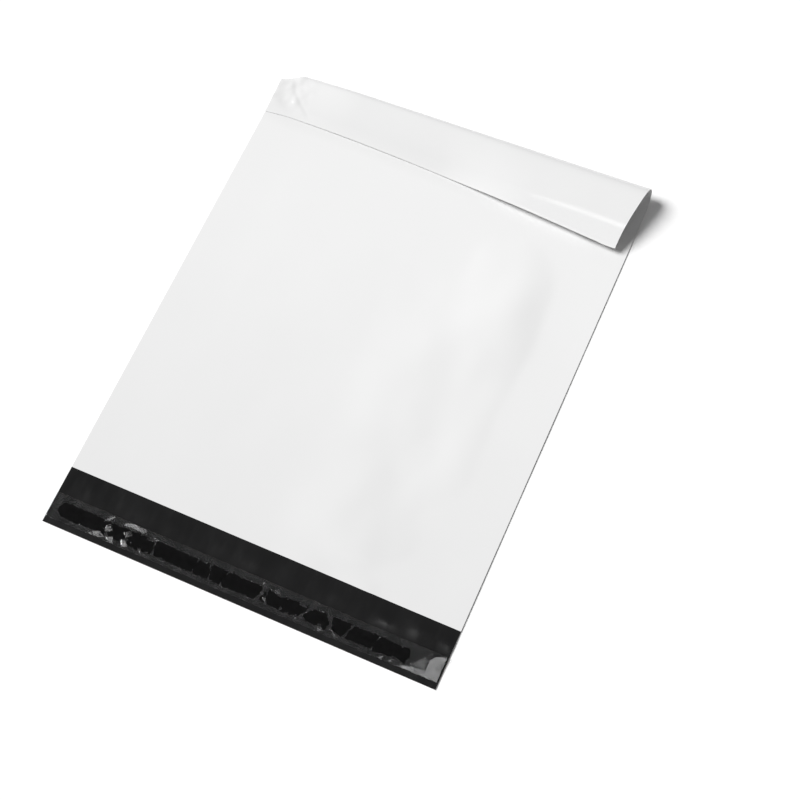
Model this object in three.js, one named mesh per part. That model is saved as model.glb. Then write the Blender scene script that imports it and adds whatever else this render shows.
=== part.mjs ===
// Poly mailer bag: an empty, flat-lying mailing bag of polyethylene film.
//
// One web of film is folded across its bottom and heat-welded along both sides. The back panel is longer
// than the front panel and carries on past the mouth as the closing flap, which lies open here and shows its
// dark inner face. A band of hot-melt glue runs along the flap under a clear release liner.
// The bottom of the bag is curled up and laid back over itself: a loose, slightly conical loop, open and full at
// the right side and low at the left side.
//
// Units are millimetres, +Z is up. X runs across the bag, the flap is towards -Y, the curled bottom is
// towards +Y. The bag lies on its back panel at Z = 0.

import * as THREE from 'three';

// ---- driving dimensions -------------------------------------------------------------------------------
const BAG_WIDTH = 250;      // across the bag, weld to weld
const BODY_LENGTH = 363;    // mouth to bottom fold, measured along the film
const FLAP_LENGTH = 37;     // closing flap beyond the mouth
const WELD_WIDTH = 6;       // side weld
const FILM = 0.2;           // one panel as drawn (real film is about 0.06)
const POCKET_GAP = 0.2;     // space between the two panels of the empty bag
const BOTTOM_FOLD = 2;      // film closed up at the bottom fold, along the film

const GLUE_FROM_MOUTH = 21; // near side of the glue band, from the mouth
const GLUE_WIDTH = 9.5;
const GLUE_LEFT = -120;     // the band starts near the left side and stops short of the right side
const GLUE_RIGHT = 104;
const GLUE_THICK = 0.15;
const LINER_FROM_MOUTH = 16.8;
const LINER_WIDTH = 16.6;
const LINER_LENGTH = 250;
const LINER_THICK = 0.15;
const LAYER_GAP = 0.05;     // clearance between flap, glue and liner

// ---- the curl -------------------------------------------------------------------------------------------
// The bottom end is turned up and laid back over the bag as a loose, drop-shaped loop. Each cross-section is a
// curve of fixed film length whose direction turns in three bends: round the far side, over the crown, and under
// at the near edge, where the spare length at the left side is tucked in. A bend turns by `turn` half-turns over
// `length` of film centred at `at`, evenly where `even` is set and gently at its ends otherwise. u runs from 0 at
// the left weld to 1 at the right.
function bends(u) {
  const farAt = 301.294 + 10.314 * u + 1.176 * u * u - 0.765 * u * u * u;
  const farLength = 14.809 + 3.313 * u + 37.097 * u * u - 20.312 * u * u * u;
  const farTurn = 1.02;
  const nearAt = 335.337 + 8.192 * u + 34.791 * u * u - 13.65 * u * u * u;
  const nearLength = 4.6;
  const crownTurn = 0.04 + 0.081 * u + 0.257 * u * u - 0.201 * u * u * u;
  const crownFrom = farAt + farLength / 4;
  return [
    { at: farAt, length: farLength, turn: farTurn },
    { at: (crownFrom + nearAt) / 2, length: nearAt - crownFrom, turn: crownTurn, even: true },
    { at: nearAt, length: nearLength, turn: 2 - farTurn - crownTurn },
  ];
}

function turned(bend, s) {
  const c = Math.min(1, Math.max(0, (s - bend.at) / bend.length + 0.5));
  return bend.turn * (bend.even ? c : c * c * (3 - 2 * c));
}

// the loop is laid over a little askew, so its right end stands back from the bag's side and gapes
const ASKEW = 8;
const CURL_START = 280;
const CURL_RISE = 296;
function setBack(u, s) {
  const c = Math.min(1, Math.max(0, (s - CURL_RISE) / (BODY_LENGTH - CURL_RISE)));
  return ASKEW * u * u * c * c * (3 - 2 * c);
}

// place of the film's underside at every film length in `rows`, for the section at u: [y, z, angle]
function section(u, rows) {
  const list = bends(u);
  const angle = (s) => Math.PI * list.reduce((sum, b) => sum + turned(b, s), 0);
  const out = [];
  const step = 0.05;
  let s = CURL_START;
  let y = CURL_START;
  let z = 0;
  for (const target of rows) {
    if (target <= CURL_START) {
      out.push([target, 0, 0]);
      continue;
    }
    while (s < target - 1e-9) {
      const d = Math.min(step, target - s);
      const mid = angle(s + d / 2);
      y += Math.cos(mid) * d;
      z += Math.sin(mid) * d;
      s += d;
    }
    out.push([y, z, angle(target)]);
  }
  return out;
}

// ---- film grid ----------------------------------------------------------------------------------------
const half = BAG_WIDTH / 2;
const inner = [-105, -90, -75, -60, -45, -30, -15, 0, 15, 30, 45, 60, 75, 90, 105];
const columns = [-half, -half + WELD_WIDTH, ...inner, half - WELD_WIDTH, half];
// film lengths of the grid rows: few on the flat, close together in the tight bends
const rows = [-FLAP_LENGTH, 0, 95, 190, CURL_START];
function rowsUpTo(end, step) {
  for (let s = rows[rows.length - 1] + step; s < end + 1e-6; s += step) rows.push(s);
}
rowsUpTo(292, 4);
rowsUpTo(310, 1.8);
rowsUpTo(331, 2.1);
rowsUpTo(BODY_LENGTH - BOTTOM_FOLD, 1.25);
rows.push(BODY_LENGTH);

const nx = columns.length - 1;
const ns = rows.length - 1;
const mouth = 1;
const pocketEnd = ns - 1;
const height = [0, FILM, FILM + POCKET_GAP, 2 * FILM + POCKET_GAP];
const sections = columns.map((x) => section((x + half) / BAG_WIDTH, rows));

// the bag is centred lengthwise on its outer box
let low = Infinity;
let high = -Infinity;
for (const sec of sections) {
  for (const [y] of sec) {
    low = Math.min(low, y);
    high = Math.max(high, y);
  }
}
const MID_Y = (low + high) / 2;

const points = [];
const faces = [];
const seen = new Map();
function at(i, j, k) {
  const key = (i * 1000 + j) * 4 + k;
  if (!seen.has(key)) {
    const [y, z, a] = sections[i][j];
    seen.set(key, points.length / 3);
    const x = columns[i] - setBack((columns[i] + half) / BAG_WIDTH, rows[j]);
    points.push(x, y - Math.sin(a) * height[k] - MID_Y, z + Math.cos(a) * height[k]);
  }
  return seen.get(key);
}
function fan(...ring) {
  for (let n = 1; n + 1 < ring.length; n++) faces.push(ring[0], ring[n], ring[n + 1]);
}

for (let i = 0; i < nx; i++) {
  const weld = i === 0 || i === nx - 1;
  for (let j = 0; j < ns; j++) {
    // back panel, outside
    fan(at(i, j, 0), at(i, j + 1, 0), at(i + 1, j + 1, 0), at(i + 1, j, 0));
    if (j < mouth) {
      // flap, inside face
      fan(at(i, j, 1), at(i + 1, j, 1), at(i + 1, j + 1, 1), at(i, j + 1, 1));
      continue;
    }
    // front panel, outside
    fan(at(i, j, 3), at(i + 1, j, 3), at(i + 1, j + 1, 3), at(i, j + 1, 3));
    if (!weld && j < pocketEnd) {
      // the two inner faces of the pocket
      fan(at(i, j, 1), at(i + 1, j, 1), at(i + 1, j + 1, 1), at(i, j + 1, 1));
      fan(at(i, j, 2), at(i, j + 1, 2), at(i + 1, j + 1, 2), at(i + 1, j, 2));
    }
  }
  // free edge of the flap, bottom fold
  fan(at(i, 0, 0), at(i + 1, 0, 0), at(i + 1, 0, 1), at(i, 0, 1));
  fan(at(i, ns, 0), at(i, ns, 3), at(i + 1, ns, 3), at(i + 1, ns, 0));
  if (!weld) {
    // mouth edge of the front panel, bottom of the pocket
    fan(at(i, mouth, 2), at(i + 1, mouth, 2), at(i + 1, mouth, 3), at(i, mouth, 3));
    fan(at(i, pocketEnd, 1), at(i + 1, pocketEnd, 1), at(i + 1, pocketEnd, 2), at(i, pocketEnd, 2));
  }
}
// mouth edge at the two welds
fan(at(0, mouth, 1), at(1, mouth, 1), at(1, mouth, 2), at(1, mouth, 3), at(0, mouth, 3));
fan(at(nx, mouth, 1), at(nx, mouth, 3), at(nx - 1, mouth, 3), at(nx - 1, mouth, 2), at(nx - 1, mouth, 1));
// outer sides and the pocket's sides
for (let j = 0; j < ns; j++) {
  if (j < mouth) {
    fan(at(0, j, 0), at(0, j, 1), at(0, j + 1, 1), at(0, j + 1, 0));
    fan(at(nx, j, 0), at(nx, j + 1, 0), at(nx, j + 1, 1), at(nx, j, 1));
  } else if (j === mouth) {
    fan(at(0, j + 1, 0), at(0, j, 0), at(0, j, 1), at(0, j, 3), at(0, j + 1, 3));
    fan(at(nx, j + 1, 0), at(nx, j + 1, 3), at(nx, j, 3), at(nx, j, 1), at(nx, j, 0));
  } else {
    fan(at(0, j, 0), at(0, j, 3), at(0, j + 1, 3), at(0, j + 1, 0));
    fan(at(nx, j, 0), at(nx, j + 1, 0), at(nx, j + 1, 3), at(nx, j, 3));
  }
  if (j >= mouth && j < pocketEnd) {
    fan(at(1, j, 1), at(1, j + 1, 1), at(1, j + 1, 2), at(1, j, 2));
    fan(at(nx - 1, j, 1), at(nx - 1, j, 2), at(nx - 1, j + 1, 2), at(nx - 1, j + 1, 1));
  }
}

const filmGeometry = new THREE.BufferGeometry();
filmGeometry.setAttribute('position', new THREE.Float32BufferAttribute(points, 3));
filmGeometry.setIndex(faces);
filmGeometry.computeVertexNormals();

// ---- pieces ---------------------------------------------------------------------------------------------
const group = new THREE.Group();

const film = new THREE.Mesh(
  filmGeometry,
  new THREE.MeshStandardMaterial({ color: 0xf1f1f2, roughness: 0.35, metalness: 0 }),
);
film.name = 'mailer_film';
group.add(film);

// hot-melt glue band on the inner face of the flap, short of the sides
const glue = new THREE.Mesh(
  new THREE.BoxGeometry(GLUE_RIGHT - GLUE_LEFT, GLUE_WIDTH, GLUE_THICK),
  new THREE.MeshStandardMaterial({ color: 0x17171a, roughness: 0.25, metalness: 0 }),
);
glue.name = 'adhesive_strip';
glue.position.set(
  (GLUE_LEFT + GLUE_RIGHT) / 2,
  -MID_Y - GLUE_FROM_MOUTH - GLUE_WIDTH / 2,
  FILM + LAYER_GAP + GLUE_THICK / 2,
);
group.add(glue);

// clear release liner over the glue, cut off flush with the bag's sides
const liner = new THREE.Mesh(
  new THREE.BoxGeometry(LINER_LENGTH, LINER_WIDTH, LINER_THICK),
  new THREE.MeshStandardMaterial({ color: 0x6f7072, roughness: 0.12, metalness: 0 }),
);
liner.name = 'release_liner';
liner.position.set(
  0,
  -MID_Y - LINER_FROM_MOUTH - LINER_WIDTH / 2,
  FILM + 2 * LAYER_GAP + GLUE_THICK + LINER_THICK / 2,
);
group.add(liner);

export default group;
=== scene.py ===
import math

import bpy
import numpy as np
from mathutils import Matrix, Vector


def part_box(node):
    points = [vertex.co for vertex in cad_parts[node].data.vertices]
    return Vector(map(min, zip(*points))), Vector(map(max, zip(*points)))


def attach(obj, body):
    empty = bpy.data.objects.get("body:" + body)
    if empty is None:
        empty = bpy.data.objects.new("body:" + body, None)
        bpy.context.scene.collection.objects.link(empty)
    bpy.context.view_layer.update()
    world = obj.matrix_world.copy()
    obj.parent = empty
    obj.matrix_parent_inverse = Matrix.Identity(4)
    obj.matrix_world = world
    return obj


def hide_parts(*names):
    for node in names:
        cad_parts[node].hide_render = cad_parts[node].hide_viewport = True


# An empty polyethylene mailing bag lying on its back: white outside, dark inside, the closing flap open towards
# the camera with its glue band under a clear release liner, and the bottom end curled over in a loose roll.
# The frame is the CAD frame in metres. Film shapes are worked out in millimetres with y measured from the mouth.

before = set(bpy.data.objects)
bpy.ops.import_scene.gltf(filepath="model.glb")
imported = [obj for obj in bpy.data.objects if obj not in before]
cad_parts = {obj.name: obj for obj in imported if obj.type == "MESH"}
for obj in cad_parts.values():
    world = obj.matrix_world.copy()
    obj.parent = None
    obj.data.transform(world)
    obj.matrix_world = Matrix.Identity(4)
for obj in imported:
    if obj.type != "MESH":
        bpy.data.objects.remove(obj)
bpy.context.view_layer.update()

film_low, film_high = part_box("mailer_film")
HALF = 125.0            # half the bag's width
FLAP = 37.0             # flap beyond the mouth
BODY = 363.0            # film length from the mouth to the bottom fold
WELD = 6.0              # side weld
MOUTH_Y = film_low.y * 1000.0 + FLAP
PANEL = 0.08            # one panel of film as drawn here


# ---- repeatable noise --------------------------------------------------------------------------------------
def noise(x, y, seed):
    """Gradient noise in about -1..1 at points x, y."""
    rs = np.random.RandomState(seed)
    perm = rs.permutation(256)
    turn = rs.uniform(0, 2 * np.pi, 256)
    gx, gy = np.cos(turn), np.sin(turn)
    x, y = np.broadcast_arrays(np.asarray(x, float), np.asarray(y, float))
    xi, yi = np.floor(x).astype(int), np.floor(y).astype(int)
    fx, fy = x - xi, y - yi

    def corner(dx, dy):
        h = perm[(perm[(xi + dx) & 255] + yi + dy) & 255]
        return gx[h] * (fx - dx) + gy[h] * (fy - dy)

    wx, wy = fx * fx * fx * (fx * (fx * 6 - 15) + 10), fy * fy * fy * (fy * (fy * 6 - 15) + 10)
    a = corner(0, 0) * (1 - wx) + corner(1, 0) * wx
    b = corner(0, 1) * (1 - wx) + corner(1, 1) * wx
    return (a * (1 - wy) + b * wy) * 1.5


def fbm(x, y, seed, octaves=3):
    total = 0
    for k in range(octaves):
        total = total + noise(np.asarray(x) * 2**k, np.asarray(y) * 2**k, seed + 17 * k) * 0.5**k
    return total


def ramp(x, a, b):
    """0 below a, 1 above b, smooth between; a > b falls instead."""
    t = np.clip((np.asarray(x, float) - a) / (b - a), 0, 1)
    return t * t * (3 - 2 * t)


# ---- the curl ----------------------------------------------------------------------------------------------
def sections(x, s):
    """Set-back, y, z and direction of the back panel's outside, for columns x and film lengths s."""
    u = ((np.asarray(x) + HALF) / (2 * HALF))[:, None]
    far = 301.294 + 10.314 * u + 1.176 * u**2 - 0.765 * u**3
    far_len = 14.809 + 3.313 * u + 37.097 * u**2 - 20.312 * u**3
    near = 335.337 + 8.192 * u + 34.791 * u**2 - 13.65 * u**3
    crown = 0.04 + 0.081 * u + 0.257 * u**2 - 0.201 * u**3
    crown_from = far + far_len / 4
    far_turn, near_len = 1.02, 4.6

    def soft(t):
        t = np.clip(t, 0, 1)
        return t * t * (3 - 2 * t)

    def angle(at):
        return np.pi * (
            far_turn * soft((at - far) / far_len + 0.5)
            + crown * np.clip((at - crown_from) / (near - crown_from), 0, 1)
            + (2 - far_turn - crown) * soft((at - near) / near_len + 0.5)
        )

    start, step = 280.0, 0.05
    fine = np.arange(start, BODY + step / 2, step)
    mid = angle(fine[None, :-1] + step / 2)
    zero = np.zeros((len(u), 1))
    yy = start + np.concatenate([zero, np.cumsum(np.cos(mid) * step, 1)], 1)
    zz = np.concatenate([zero, np.cumsum(np.sin(mid) * step, 1)], 1)
    y, z = np.empty((len(u), len(s))), np.empty((len(u), len(s)))
    for i in range(len(u)):
        y[i] = np.where(s <= start, s, np.interp(s, fine, yy[i]))
        z[i] = np.where(s <= start, 0, np.interp(s, fine, zz[i]))
    a = np.where(s[None, :] <= start, 0, angle(np.maximum(s, start)[None, :]))
    back = 8.0 * u**2 * soft((s[None, :] - 296) / (BODY - 296))
    return back, y, z, a


# ---- how the film lies -------------------------------------------------------------------------------------
def lie(x, y):
    """Height of the film over the floor, never below zero: long soft waves, and the flap's humps."""
    wave = 0.14 * (1 + noise(x / 75 + 3.1, y / 90 + 1.7, 11)) * 0.5
    edge = 0.22 * ramp(np.abs(x), 95, 125) * (0.5 + 0.5 * noise(x * 0 + 0.3 * np.sign(x), y / 70, 12))
    hump = np.exp(-(((y + 9.0) / 5.2) ** 2))
    rise = np.maximum(0.12 + 0.55 * noise(x / 15 + 0.7, x * 0 + 0.2, 13) + 0.35 * noise(x / 5.5, x * 0 + 4.1, 14), 0)
    rise = rise * (0.45 + 0.35 * ramp(x, -40, -10))
    smudge = 0
    for cx, cy, wx, wy, tall in ((82, -10.5, 8, 4.6, 0.26), (101, -5.5, 9, 4.4, 0.30), (119, -9.0, 6, 4.2, 0.28)):
        smudge = smudge + tall * np.exp(-(((x - cx) / wx) ** 2) - ((y - cy) / wy) ** 2)
    cross = hump * rise + smudge * (1 + 0.5 * noise(x / 7, y / 5, 18)) + 0.04 * ramp(y, 2, -8) * (1 + noise(x / 9, y / 25, 16))
    lift = 0.08 * ramp(y, -22, -37) * (0.4 + 0.6 * noise(x / 45 + 9, x * 0 + 0.5, 15)) ** 2
    return np.maximum(wave + edge + cross + lift, 0.0)


def pocket(x, s):
    """Space between the two panels."""
    inside = ramp(np.abs(x), HALF - WELD, HALF - WELD - 55) * ramp(s, 285, 205)
    soft = 0.30 + 0.26 * noise(x / 62 + 5.2, s / 80 + 2.4, 21) + 0.06 * noise(x / 24, s / 31, 22)
    mouth = 0.35 + 0.65 * ramp(s, 0, 30)
    lip = 0.10 * ramp(s, 14, 0) * (1 + noise(x / 28, s * 0, 23))
    return 0.07 + np.maximum(inside * (soft * mouth + lip), 0)


def settle(x, y, z):
    """The curl's near edge lies close on the bag at the left and stands a little off it at the right; the left end
    is pressed nearly flat, with its corner drawn in and crumpled."""
    gap = 0.62 + 4.1 * ramp(x, -5, 58)
    near = ramp(y, 302, 266)
    lip = 0.75 + 0.20 * ramp(x, -106, -84)
    low = np.where(z < 0.4, z, np.where(z < 1.1, 0.4 + (z - 0.4) * (gap - 0.4) / 0.7,
                   np.where(z < 3.75, gap + (z - 1.1) * lip / 2.65, gap + lip + z - 3.75)))
    z = z + near * (low - z)
    y = y - 1.3 * ramp(x, -5, 60) * near * ramp(z, 0.5, 1.5)
    flat = 0.34 + 0.66 * ramp(x, -127, -70) ** 0.8
    z = np.where(z > 0.35, 0.35 + (z - 0.35) * flat, z)
    draw = 1 - 0.18 * ramp(x, -110, -126)
    y = np.where(y > 262, 262 + (y - 262) * draw, y)
    crumple = ramp(x, -96, -112) * ramp(y, 268, 280) * ramp(z, 0.5, 1.4)
    z = z + crumple * (0.40 * noise(x / 8.5 + 0.4, y / 6.5, 31) + 0.16 * noise(x / 3.4, y / 3.8, 32))
    # a soft fold runs in from a dent in the far corner
    along = np.interp(y, [272, 279, 286, 296], [-96.0, -104.5, -112.0, -117.5])
    off = (x - along) / 1.6
    z = z + ramp(y, 270, 276) * ramp(z, 0.8, 1.8) * (0.12 * np.exp(-((off + 1.6) ** 2)) - 0.18 * np.exp(-off * off))
    return y, z


def wavy(x, y, z):
    """Faint unevenness of the curl itself."""
    return z + ramp(z, 1.5, 5) * (0.14 * noise(x / 60 + 2, y / 45, 41) + 0.03 * noise(x / 21, y / 17, 42))


# ---- meshes ------------------------------------------------------------------------------------------------
def make(name, verts_mm, quads, mat_of, mats, smooth_deg=38):
    mesh = bpy.data.meshes.new(name)
    co = np.asarray(verts_mm, float).copy()
    co[:, 1] += MOUTH_Y
    quads = np.asarray(quads, np.int64)
    mesh.vertices.add(len(co))
    mesh.vertices.foreach_set("co", (co * 0.001).astype(np.float32).ravel())
    mesh.loops.add(quads.size)
    mesh.loops.foreach_set("vertex_index", quads.ravel().astype(np.int32))
    mesh.polygons.add(len(quads))
    mesh.polygons.foreach_set("loop_start", np.arange(0, quads.size, 4, dtype=np.int32))
    mesh.polygons.foreach_set("material_index", np.asarray(mat_of, np.int32))
    mesh.update(calc_edges=True)
    mesh.validate()
    mesh.polygons.foreach_set("use_smooth", np.ones(len(mesh.polygons), bool))
    mesh.set_sharp_from_angle(angle=math.radians(smooth_deg))
    for m in mats:
        mesh.materials.append(m)
    obj = bpy.data.objects.new(name, mesh)
    bpy.context.scene.collection.objects.link(obj)
    return obj


# ---- materials ---------------------------------------------------------------------------------------------
def material(name):
    m = bpy.data.materials.new(name)
    m.use_nodes = True
    nt = m.node_tree
    nt.nodes.clear()
    out = nt.nodes.new("ShaderNodeOutputMaterial")
    bsdf = nt.nodes.new("ShaderNodeBsdfPrincipled")
    nt.links.new(bsdf.outputs[0], out.inputs[0])
    where = nt.nodes.new("ShaderNodeTexCoord")
    return m, nt, bsdf, where.outputs["Object"]


def tex(nt, where, scale, detail=2.0, rough=0.5, stretch=None):
    n = nt.nodes.new("ShaderNodeTexNoise")
    n.inputs["Scale"].default_value = scale
    n.inputs["Detail"].default_value = detail
    n.inputs["Roughness"].default_value = rough
    if stretch:
        mp = nt.nodes.new("ShaderNodeMapping")
        mp.inputs["Scale"].default_value = stretch
        nt.links.new(where, mp.inputs["Vector"])
        where = mp.outputs[0]
    nt.links.new(where, n.inputs["Vector"])
    return n.outputs["Fac"]


def spread(nt, fac, low, high, a=0.3, b=0.7):
    r = nt.nodes.new("ShaderNodeMapRange")
    r.inputs["From Min"].default_value = a
    r.inputs["From Max"].default_value = b
    r.inputs["To Min"].default_value = low
    r.inputs["To Max"].default_value = high
    nt.links.new(fac, r.inputs["Value"])
    return r.outputs["Result"]


def tint(nt, fac, low, high, a=0.3, b=0.7):
    r = nt.nodes.new("ShaderNodeValToRGB")
    r.color_ramp.elements[0].position = a
    r.color_ramp.elements[0].color = (*low, 1)
    r.color_ramp.elements[1].position = b
    r.color_ramp.elements[1].color = (*high, 1)
    nt.links.new(fac, r.inputs["Fac"])
    return r.outputs["Color"]


def bump(nt, bsdf, layers):
    last = None
    for height, distance, strength in layers:
        b = nt.nodes.new("ShaderNodeBump")
        b.inputs["Distance"].default_value = distance
        b.inputs["Strength"].default_value = strength
        nt.links.new(height, b.inputs["Height"])
        if last:
            nt.links.new(last, b.inputs["Normal"])
        last = b.outputs["Normal"]
    nt.links.new(last, bsdf.inputs["Normal"])


def white_film():
    m, nt, bsdf, where = material("film_white")
    cloud = tex(nt, where, 17, 3)
    # painted shade: the white base colour is made darker towards the mouth, where the light falls off, and darker
    # again on the curl
    place = nt.nodes.new("ShaderNodeSeparateXYZ")
    nt.links.new(where, place.inputs[0])
    along = spread(nt, place.outputs["Y"], 0.0, 1.0, -0.15, 0.12)
    mottle_and_painted_shade = nt.nodes.new("ShaderNodeMath")
    mottle_and_painted_shade.operation = "MULTIPLY_ADD"
    nt.links.new(cloud, mottle_and_painted_shade.inputs[0])
    mottle_and_painted_shade.inputs[1].default_value = 0.35
    nt.links.new(along, mottle_and_painted_shade.inputs[2])
    # painted shade: the base colour drops on the curl to dim its lit face
    curl_painted_shade = spread(nt, place.outputs["Y"], 0.0, 0.9, 0.122, 0.142)
    painted_shade_tone = nt.nodes.new("ShaderNodeMath")
    painted_shade_tone.operation = "SUBTRACT"
    nt.links.new(mottle_and_painted_shade.outputs[0], painted_shade_tone.inputs[0])
    nt.links.new(curl_painted_shade, painted_shade_tone.inputs[1])
    nt.links.new(tint(nt, painted_shade_tone.outputs[0], (0.778, 0.778, 0.778), (0.852, 0.852, 0.852), 0.1, 1.2), bsdf.inputs["Base Color"])
    nt.links.new(spread(nt, tex(nt, where, 55, 2), 0.08, 0.14), bsdf.inputs["Roughness"])
    bsdf.inputs["IOR"].default_value = 1.5
    # the film's faint orange peel, and die lines along the web
    bump(nt, bsdf, [
        (tex(nt, where, 900, 2), 0.00002, 0.10),
        (tex(nt, where, 60, 2, 0.5, (6.0, 0.25, 1.0)), 0.00006, 0.08),
    ])
    return m


def dark_film():
    m, nt, bsdf, where = material("film_dark")
    cloud = tex(nt, where, 40, 3)
    nt.links.new(tint(nt, cloud, (0.0052, 0.0052, 0.0054), (0.0090, 0.0090, 0.0092)), bsdf.inputs["Base Color"])
    nt.links.new(spread(nt, tex(nt, where, 90, 3, 0.6, (2.0, 0.5, 1.0)), 0.13, 0.22), bsdf.inputs["Roughness"])
    bsdf.inputs["IOR"].default_value = 1.5
    bump(nt, bsdf, [
        (tex(nt, where, 1100, 2), 0.00002, 0.15),
        (tex(nt, where, 75, 2, 0.5, (4.0, 0.3, 1.0)), 0.0001, 0.12),
    ])
    return m


def glue_dark():
    m, nt, bsdf, where = material("glue_dark")
    nt.links.new(tint(nt, tex(nt, where, 300, 3), (0.003, 0.003, 0.0035), (0.008, 0.008, 0.009)), bsdf.inputs["Base Color"])
    nt.links.new(spread(nt, tex(nt, where, 500, 3), 0.35, 0.6), bsdf.inputs["Roughness"])
    bsdf.inputs["IOR"].default_value = 1.33
    bump(nt, bsdf, [(tex(nt, where, 700, 3), 0.00008, 0.3)])
    return m


def liner_clear():
    m, nt, bsdf, where = material("liner_clear")
    bsdf.inputs["Base Color"].default_value = (0.96, 0.965, 0.97, 1)
    bsdf.inputs["Transmission Weight"].default_value = 1.0
    bsdf.inputs["IOR"].default_value = 1.48
    nt.links.new(spread(nt, tex(nt, where, 160, 3), 0.05, 0.16), bsdf.inputs["Roughness"])
    bump(nt, bsdf, [(tex(nt, where, 420, 3, 0.55, (1.0, 1.6, 1.0)), 0.00010, 0.18)])
    return m


def liner_wet():
    m, nt, bsdf, where = material("liner_on_glue")
    nt.links.new(tint(nt, tex(nt, where, 260, 3), (0.0010, 0.0010, 0.0011), (0.0028, 0.0028, 0.0030)), bsdf.inputs["Base Color"])
    nt.links.new(spread(nt, tex(nt, where, 420, 3), 0.12, 0.22), bsdf.inputs["Roughness"])
    bsdf.inputs["IOR"].default_value = 1.33
    bump(nt, bsdf, [(tex(nt, where, 800, 2, 0.5, (2.2, 0.5, 1.0)), 0.00006, 0.20)])
    return m


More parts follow.
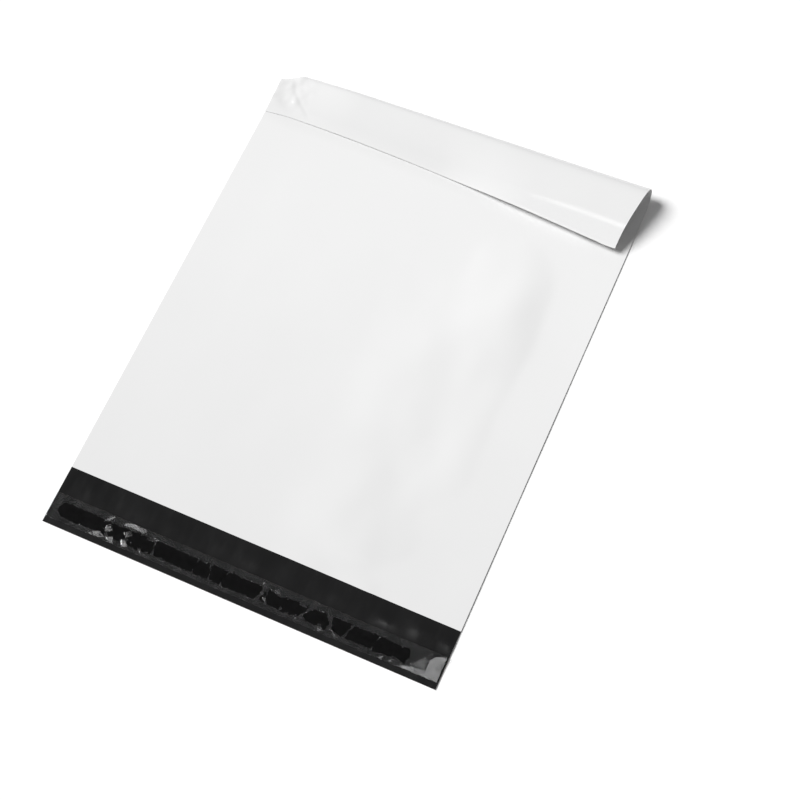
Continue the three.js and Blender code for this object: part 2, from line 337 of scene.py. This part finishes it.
# ---- film --------------------------------------------------------------------------------------------------
def build_film():
    left = np.linspace(-HALF + WELD, -85, 29)[1:]
    rest = np.linspace(-85, HALF - WELD, 76)[1:]
    x = np.concatenate([[-HALF, -HALF + 1.5, -HALF + 3.5, -HALF + WELD], left, rest, [HALF - 3.5, HALF - 1.5, HALF]])
    w0, w1 = 3, len(x) - 4          # columns where the pocket begins and ends
    s = np.concatenate([
        np.linspace(-FLAP, 0, 29)[:-1], np.linspace(0, 270, 73)[:-1], np.linspace(270, 290, 11)[:-1],
        np.linspace(290, 333, 36)[:-1], np.linspace(333, BODY - 1.5, 43), [BODY]])
    nx, ns = len(x), len(s)
    mouth = 28
    deep = ns - 2
    back, y, z, a = sections(x, s)
    X = np.repeat(x[:, None], ns, 1)
    S = np.repeat(s[None, :], nx, 0)
    gap = pocket(X, S)
    height = [0 * gap, PANEL + 0 * gap, PANEL + gap, 2 * PANEL + gap]
    P = np.empty((4, nx, ns, 3))
    for k in range(4):
        yy, zz = y - np.sin(a) * height[k], z + np.cos(a) * height[k]
        yy, zz = settle(X, yy, zz)
        zz = wavy(X, yy, zz) + lie(X, yy)
        P[k, ..., 0], P[k, ..., 1], P[k, ..., 2] = X - back, yy, zz
    index = np.arange(4 * nx * ns).reshape(4, nx, ns)

    quads, mats = [], []

    def add(p, q, r, t, mat):
        block = np.stack([np.ravel(p), np.ravel(q), np.ravel(r), np.ravel(t)], 1)
        quads.append(block)
        mats.append(np.full(len(block), mat))

    def up(layer, i0, i1, j0, j1, mat):
        g = index[layer, i0:i1 + 1, j0:j1 + 1]
        add(g[:-1, :-1], g[1:, :-1], g[1:, 1:], g[:-1, 1:], mat)

    def down(layer, i0, i1, j0, j1, mat):
        g = index[layer, i0:i1 + 1, j0:j1 + 1]
        add(g[:-1, :-1], g[:-1, 1:], g[1:, 1:], g[1:, :-1], mat)

    end = nx - 1
    WHITE, DARK = 0, 1
    down(0, 0, end, 0, ns - 1, WHITE)             # back panel, outside
    up(1, 0, end, 0, mouth, DARK)                 # flap, inside face
    up(3, 0, end, mouth, ns - 1, WHITE)           # front panel, outside
    up(1, w0, w1, mouth, deep, DARK)              # the pocket's two faces
    down(2, w0, w1, mouth, deep, DARK)
    b, f, r = index[0], index[1], index[2]
    t = index[3]
    add(b[:-1, 0], b[1:, 0], f[1:, 0], f[:-1, 0], DARK)                                  # flap's free edge
    add(b[:-1, -1], t[:-1, -1], t[1:, -1], b[1:, -1], WHITE)                             # bottom fold
    add(r[w0:w1, mouth], r[w0 + 1:w1 + 1, mouth], t[w0 + 1:w1 + 1, mouth], t[w0:w1, mouth], WHITE)   # mouth edge
    add(f[w0:w1, deep], f[w0 + 1:w1 + 1, deep], r[w0 + 1:w1 + 1, deep], r[w0:w1, deep], DARK)        # pocket's bottom
    for i0, i1 in ((0, w0), (w1, end)):                                                  # mouth edge at the welds
        add(f[i0:i1, mouth], f[i0 + 1:i1 + 1, mouth], r[i0 + 1:i1 + 1, mouth], r[i0:i1, mouth], WHITE)
        add(r[i0:i1, mouth], r[i0 + 1:i1 + 1, mouth], t[i0 + 1:i1 + 1, mouth], t[i0:i1, mouth], WHITE)
    # outer sides
    add(b[0, :mouth], f[0, :mouth], f[0, 1:mouth + 1], b[0, 1:mouth + 1], DARK)
    add(b[end, :mouth], b[end, 1:mouth + 1], f[end, 1:mouth + 1], f[end, :mouth], DARK)
    for lower, upper in ((b, f), (f, r), (r, t)):
        add(lower[0, mouth:-1], upper[0, mouth:-1], upper[0, mouth + 1:], lower[0, mouth + 1:], WHITE)
        add(lower[end, mouth:-1], lower[end, mouth + 1:], upper[end, mouth + 1:], upper[end, mouth:-1], WHITE)
    # the bottom fold carries the same rows as the sides
    quads_all = np.concatenate(quads)
    mats_all = np.concatenate(mats)
    fold = len(b[:-1, -1])
    # replace the single bottom-fold strip by three strips so every edge is shared
    keep = np.ones(len(quads_all), bool)
    first = sum(len(q) for q in quads[:6])
    keep[first:first + fold] = False
    extra = []
    for lower, upper in ((b, f), (f, r), (r, t)):
        extra.append(np.stack([lower[:-1, -1], upper[:-1, -1], upper[1:, -1], lower[1:, -1]], 1))
    quads_all = np.concatenate([quads_all[keep], *extra])
    mats_all = np.concatenate([mats_all[keep], np.zeros(3 * fold, int)])
    # the pocket's sides
    side = []
    for i, flip in ((w0, False), (w1, True)):
        q = np.stack([f[i, mouth:deep], f[i, mouth + 1:deep + 1], r[i, mouth + 1:deep + 1], r[i, mouth:deep]], 1)
        side.append(q[:, ::-1] if flip else q)
    quads_all = np.concatenate([quads_all, *side])
    mats_all = np.concatenate([mats_all, np.ones(2 * (deep - mouth), int)])
    used = np.unique(quads_all)
    renum = np.full(4 * nx * ns, -1)
    renum[used] = np.arange(len(used))
    return make("bag_film", P.reshape(-1, 3)[used], renum[quads_all], mats_all, [white_film(), dark_film()])


def flap_top(x, y):
    return PANEL + lie(x, y)


# ---- glue band and release liner ---------------------------------------------------------------------------
GLUE_TOP, GLUE_LOW = -21.0, -30.5
GLUE_LEFT, GLUE_RIGHT = -120.0, 104.0
LINER_TOP, LINER_LOW = -16.8, -33.4


def teeth(x, seed):
    """Fine irregular scallops along an edge of the glue."""
    return 0.65 * np.abs(noise(x / 1.7, x * 0 + 0.5, seed)) + 0.30 * noise(x / 0.9, x * 0 + 2.5, seed + 1)


def glue_edges(x):
    """Ragged upper and lower edge of the glue band, closing to a round end at the left."""
    up_ = GLUE_TOP + 0.55 * noise(x / 9.5, x * 0 + 0.3, 51) - teeth(x, 56)
    lo_ = GLUE_LOW + 0.55 * noise(x / 8.0, x * 0 + 7.3, 53) + 1.3 * teeth(x, 58)
    mid = (GLUE_TOP + GLUE_LOW) / 2
    d = np.clip((x - GLUE_LEFT) / 4.7, 0, 1)
    k = np.sqrt(np.clip(1 - (1 - d) ** 2, 0.002, 1))
    e = np.clip((GLUE_RIGHT - x) / 1.6, 0, 1)
    k = k * np.sqrt(np.clip(1 - (1 - e) ** 2, 0.002, 1))
    return mid + (up_ - mid) * k, mid + (lo_ - mid) * k


# where wrinkles of the liner cross the glue: place, lean, width, strength
CREASES = ((-57.5, -0.2, 0.6, 5), (-31.0, 0.1, 0.3, 3), (-21.8, -0.15, 0.45, 5), (-12.5, 0.1, 0.28, 3), (10.8, 0.35, 0.9, 7),
           (14.5, -0.3, 0.5, 5), (25.5, 0.2, 0.3, 3), (38.8, 0.5, 0.8, 6), (54.8, -0.5, 1.1, 7), (66.2, 0.3, 0.6, 6), (83.1, 0.2, 0.35, 4))

# flat buckles of the liner that stand clear of the flap: outline, rise per millimetre across and towards the mouth
BUCKLES = (
    (((-98.9, -33.1), (-94.2, -29.6), (-91.3, -28.8), (-87.0, -30.8), (-87.5, -32.5), (-90.9, -33.4)), 0.035, 0.100),
    (((-86.6, -30.6), (-82.6, -28.4), (-80.8, -32.9), (-85.1, -32.8)), 0.030, 0.097),
    (((-77.8, -28.7), (-74.4, -28.1), (-71.6, -31.7), (-75.3, -32.8)), 0.025, 0.094),
    (((-65.2, -29.8), (-61.9, -31.5), (-58.3, -31.3), (-59.4, -33.0), (-63.4, -32.3)), 0.020, 0.103),
    (((-92.0, -22.0), (-89.7, -18.0), (-86.2, -17.0), (-86.7, -19.6), (-89.2, -22.0)), 0.030, 0.099),
    (((-81.2, -18.9), (-76.3, -17.0), (-67.7, -17.0), (-64.3, -18.2), (-67.4, -20.7), (-75.3, -20.2), (-78.6, -20.9)), 0.025, 0.101),
    (((-89.2, -24.1), (-87.2, -22.3), (-84.0, -25.6), (-86.3, -27.5), (-89.4, -27.1)), 0.020, 0.080),
    (((-78.3, -24.0), (-74.5, -21.5), (-72.2, -24.2), (-75.6, -26.7)), 0.010, 0.076),
    (((-60.3, -20.0), (-57.4, -17.0), (-56.6, -18.4), (-57.8, -21.7)), 0.010, 0.092),
    (((-124.6, -31.9), (-121.8, -31.4), (-121.6, -33.0), (-124.4, -33.2)), 0.040, 0.090),
    (((8.2, -18.6), (9.6, -17.2), (10.4, -18.6), (9.2, -19.8)), 0.010, 0.066),
    (((10.6, -24.4), (12.2, -24.2), (12.6, -26.0), (11.0, -26.2)), 0.010, 0.085),
    (((12.9, -26.8), (14.6, -26.6), (14.8, -28.8), (13.2, -28.9)), 0.010, 0.090),
    (((15.5, -21.3), (18.8, -18.6), (21.2, -20.6), (17.0, -21.9)), 0.010, 0.078),
    (((42.2, -17.1), (45.0, -17.0), (44.3, -18.8)), 0.010, 0.072),
    (((33.7, -30.7), (36.3, -28.7), (37.7, -31.8)), 0.010, 0.060),
    (((-31.6, -20.0), (-25.0, -20.5), (-25.4, -21.7), (-31.0, -21.3)), 0.010, 0.070),
    (((47.5, -30.5), (50.5, -29.3), (52.5, -30.9), (49.5, -32.4)), 0.010, 0.064),
    (((56.0, -28.5), (60.5, -29.5), (62.5, -31.5), (58.5, -31.4)), 0.010, 0.062),
    (((87.5, -33.4), (89.0, -30.7), (91.1, -30.3), (89.8, -33.4)), 0.010, 0.096),
    (((92.9, -33.3), (94.7, -30.5), (97.1, -29.9), (95.3, -33.4)), 0.010, 0.099),
    (((97.5, -33.4), (101.2, -31.3), (105.1, -30.0), (109.5, -29.7), (115.5, -28.3), (115.1, -22.5), (118.5, -19.2), (123.6, -17.4),
      (125.2, -17.2), (125.2, -33.4)), 0.004, 0.096),
    (((106.2, -28.6), (111.8, -21.2), (114.7, -23.0), (115.0, -28.2), (109.3, -29.3)), -0.030, 0.070),
    (((113.6, -19.8), (115.7, -17.0), (116.6, -18.1), (114.4, -20.4)), 0.010, 0.085),
)


def inside(points, x, y):
    """Distance, in millimetres, to a closed outline: positive inside."""
    pts = np.asarray(points, float)
    near = np.full(x.shape, 1e9)
    odd = np.zeros(x.shape, bool)
    for (ax, ay), (bx, by) in zip(pts, np.roll(pts, -1, 0)):
        dx, dy = bx - ax, by - ay
        k = np.clip(((x - ax) * dx + (y - ay) * dy) / (dx * dx + dy * dy), 0, 1)
        near = np.minimum(near, np.hypot(x - ax - k * dx, y - ay - k * dy))
        if by != ay:
            odd ^= ((ay > y) != (by > y)) & (x < ax + (y - ay) * dx / dy)
    return np.where(odd, near, -near)


def dots():
    """Tiny blisters between the teeth of the glue's edges."""
    rs = np.random.RandomState(81)
    out = []
    for _ in range(44):
        cx, r = rs.uniform(-116, 102), rs.uniform(0.35, 0.75)
        cy = (GLUE_LOW - 0.1 if rs.rand() < 0.7 else GLUE_TOP + 0.1) + rs.uniform(-0.5, 0.5)
        if -95 < cx < -58:
            continue
        out.append((((cx - r, cy), (cx, cy + r), (cx + r, cy), (cx, cy - r)), 0.01, rs.uniform(0.06, 0.10)))
    return tuple(out)


def buckled(x, y):
    """Height of the buckles over the flap, and how far inside one each point is."""
    rise, depth = np.zeros(x.shape), np.full(x.shape, -9.0)
    for points, gx, gy in BUCKLES + dots():
        pts = np.asarray(points)
        cols = np.nonzero((x[:, 0] > pts[:, 0].min() - 1) & (x[:, 0] < pts[:, 0].max() + 1))[0]
        if not len(cols):
            continue
        c = slice(cols[0], cols[-1] + 1)
        d = inside(points, x[c], y[c])
        level = gx * x[c] + gy * y[c] - (gx * pts[:, 0] + gy * pts[:, 1]).min() + 0.05
        rise[c] = np.where(d > -0.15, np.maximum(ramp(d, -0.15, 0.15) * level, rise[c] * (d < 0)), rise[c])
        depth[c] = np.maximum(depth[c], d)
    return rise, depth


def wetness(x, y):
    """Positive, in millimetres, where the liner is stuck down on the glue."""
    up_, lo_ = glue_edges(np.clip(x, GLUE_LEFT + 0.01, GLUE_RIGHT - 0.01))
    f = np.minimum(up_ - y, y - lo_)
    f = np.where((x > GLUE_LEFT) & (x < GLUE_RIGHT), f, -1.0)
    mid = (GLUE_TOP + GLUE_LOW) / 2
    for at, lean, width, strength in CREASES:
        off = (x - at - lean * (y - mid) + 0.9 * noise(y / 2.4, y * 0 + at, 63)) / width
        f = f - strength * np.exp(-off * off)
    torn = ramp(x, -93, -90) * ramp(x, -57, -61)
    f = f - 5.0 * torn * np.maximum(noise(x / 5.2 + 1.3, y / 3.6, 64) + 0.45 * noise(x / 2.2, y / 1.8, 65) - 0.05, 0)
    ragged = ramp(x, 14, 20) * ramp(x, 66, 58)
    f = f - 3.2 * ragged * np.maximum(noise(x / 4.0 + 7.7, y / 3.0, 66) - 0.05, 0)
    end = ramp(x, 88, 99)
    return f - 3.5 * end * np.maximum(noise(x / 4.4 + 2.7, y / 2.6, 67) + 0.05, 0)


def crumpled(x, y, seed, pitch, slope, curve):
    """Film buckled into facets: the lowest of many tilted shallow bowls."""
    rs = np.random.RandomState(seed)
    gx = np.arange(-HALF - 4, HALF + 4, pitch)
    gy = np.arange(LINER_LOW - 4, LINER_TOP + 4, pitch * 0.8)
    best = np.full(x.shape, 1e9)
    for cx in gx:
        for cy in gy:
            px, py = cx + rs.uniform(-0.42, 0.42) * pitch, cy + rs.uniform(-0.42, 0.42) * pitch
            tx, ty, base = rs.uniform(-slope, slope), rs.uniform(-slope, slope), rs.uniform(0, 0.12)
            near = np.nonzero(np.abs(x[:, 0] - px) < 2.6 * pitch)[0]
            if not len(near):
                continue
            rows = slice(near[0], near[-1] + 1)
            dx, dy = x[rows] - px, y[rows] - py
            best[rows] = np.minimum(best[rows], base + tx * dx + ty * dy + curve * (dx * dx + dy * dy))
    return best


def build_glue():
    x = np.linspace(GLUE_LEFT, GLUE_RIGHT, 450)
    v = np.linspace(0, 1, 15)
    up_, lo_ = glue_edges(x)
    X = np.repeat(x[:, None], len(v), 1)
    Y = lo_[:, None] + (up_ - lo_)[:, None] * v[None, :]
    body = np.clip(np.minimum(v, 1 - v) * 7, 0, 1)[None, :]
    thick = 0.012 + 0.030 * body * (0.85 + 0.3 * noise(X / 3.0, Y / 2.0, 55))
    base = flap_top(X, Y) + 0.006
    return shell("glue_band", X, Y, base, base + thick, [glue_dark()])


def shell(name, X, Y, Z0, Z1, mats, mat_of=None):
    """Closed sheet between two height fields on one grid."""
    n, m = X.shape
    P = np.stack([np.stack([X, Y, Z0], -1), np.stack([X, Y, Z1], -1)])
    g = np.arange(2 * n * m).reshape(2, n, m)
    lo, hi = g[0], g[1]
    q = [
        (hi[:-1, :-1], hi[1:, :-1], hi[1:, 1:], hi[:-1, 1:]),
        (lo[:-1, :-1], lo[:-1, 1:], lo[1:, 1:], lo[1:, :-1]),
        (lo[:-1, 0], lo[1:, 0], hi[1:, 0], hi[:-1, 0]),
        (lo[:-1, -1], hi[:-1, -1], hi[1:, -1], lo[1:, -1]),
        (lo[0, :-1], hi[0, :-1], hi[0, 1:], lo[0, 1:]),
        (lo[-1, :-1], lo[-1, 1:], hi[-1, 1:], hi[-1, :-1]),
    ]
    quads = np.concatenate([np.stack([np.ravel(c) for c in f], 1) for f in q])
    mat = np.zeros(len(quads), int) if mat_of is None else mat_of
    return make(name, P.reshape(-1, 3), quads, mat, mats)


def build_liner():
    x = np.linspace(-HALF - 0.5, HALF - 1.0, 721)
    y = np.linspace(LINER_LOW, LINER_TOP, 55)
    X, Y = np.meshgrid(x, y, indexing="ij")
    rise, depth = buckled(X, Y)
    wet = np.minimum(wetness(X, Y), -depth)
    loose = ramp(wet, 0.30, -0.40)
    # over the glue the liner is held down; beside it, it stands off the film a little and buckles
    amount = 0.05 + 0.25 * np.maximum(ramp(X, -96, -92) * ramp(X, -56, -60), ramp(X, 6, 12) * ramp(X, 68, 60))
    waves = np.clip(crumpled(X, Y, 71, 4.6, 0.15, 0.022) + 0.12, 0, 0.75)
    lift = 0.07 * (1 - loose) + loose * (0.05 + amount * waves * ramp(depth, 0.1, -0.3)) + rise
    base = flap_top(X, Y) + lift
    n, m = X.shape
    middle = (wet[:-1, :-1] + wet[1:, :-1] + wet[1:, 1:] + wet[:-1, 1:]) / 4
    mat = (middle > 0).astype(int).ravel()
    rim = 2 * (n - 1) + 2 * (m - 1)
    return shell("release_film", X, Y, base, base + 0.03, [liner_clear(), liner_wet()], np.concatenate([mat, mat, np.zeros(rim, int)]))


film = build_film()
glue = build_glue()
liner = build_liner()

for piece, node, slot_name in ((film, "mailer_film", "film"), (glue, "adhesive_strip", "glue"), (liner, "release_liner", "liner")):
    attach(piece, "root")
    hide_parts(node)


# ---- floor, light, camera ----------------------------------------------------------------------------------
def build_floor():
    mesh = bpy.data.meshes.new("floor")
    r, z = 4.0, -0.0004
    mesh.from_pydata([(-r, -r, z), (r, -r, z), (r, r, z), (-r, r, z)], [], [(0, 1, 2, 3)])
    m, nt, bsdf, where = material("floor_pale")
    nt.links.new(tint(nt, tex(nt, where, 3, 2), (0.980, 0.980, 0.980), (0.990, 0.990, 0.990)), bsdf.inputs["Base Color"])
    bsdf.inputs["Roughness"].default_value = 0.9
    bsdf.inputs["Specular IOR Level"].default_value = 0.2
    mesh.materials.append(m)
    obj = bpy.data.objects.new("floor", mesh)
    bpy.context.scene.collection.objects.link(obj)


def softbox(name, at, aim, size, watts):
    data = bpy.data.lights.new(name, "AREA")
    data.shape = "RECTANGLE"
    data.size, data.size_y = size
    data.energy = watts
    obj = bpy.data.objects.new(name, data)
    obj.location = at
    obj.rotation_mode = "QUATERNION"
    obj.rotation_quaternion = (Vector(aim) - Vector(at)).to_track_quat("-Z", "Y")
    obj.visible_camera = False
    bpy.context.scene.collection.objects.link(obj)
    return obj


def sun(name, toward, spread_deg, strength):
    data = bpy.data.lights.new(name, "SUN")
    data.angle = math.radians(spread_deg)
    data.energy = strength
    obj = bpy.data.objects.new(name, data)
    obj.rotation_mode = "QUATERNION"
    obj.rotation_quaternion = (-Vector(toward)).to_track_quat("-Z", "Y")
    bpy.context.scene.collection.objects.link(obj)
    return obj


build_floor()

scene = bpy.context.scene
scene.view_settings.view_transform = "Standard"
scene.view_settings.look = "None"
scene.view_settings.exposure = 0.0
scene.view_settings.gamma = 1.0

world = bpy.data.worlds.new("studio")
world.use_nodes = True
world.node_tree.nodes["Background"].inputs["Color"].default_value = (1, 1, 1, 1)
world.node_tree.nodes["Background"].inputs["Strength"].default_value = 0.17
scene.world = world

sun("key_left", (-0.92, -0.14, 1.0), 30, 3.77)
softbox("strip_right", (-0.045, -0.088, 1.20), (-0.045, -0.088, 0), (0.27, 0.104), 0.33)
softbox("strip_left", (-0.245, -0.134, 0.50), (-0.245, -0.134, 0), (0.075, 0.036), 0.030)

az, el, distance = math.radians(23.7505), math.radians(66.9844), 1.11796
target = Vector((0.03535, 0.11745 + MOUTH_Y * 0.001, 0.0))
back = Vector((math.sin(az) * math.cos(el), -math.cos(az) * math.cos(el), math.sin(el)))
cam_data = bpy.data.cameras.new("camera")
cam_data.sensor_width = 36.0
cam_data.lens = 83.80
cam = bpy.data.objects.new("camera", cam_data)
cam.location = target + back * distance
cam.rotation_mode = "QUATERNION"
cam.rotation_quaternion = (-back).to_track_quat("-Z", "Y")
scene.collection.objects.link(cam)
scene.camera = cam

bpy.context.view_layer.update()
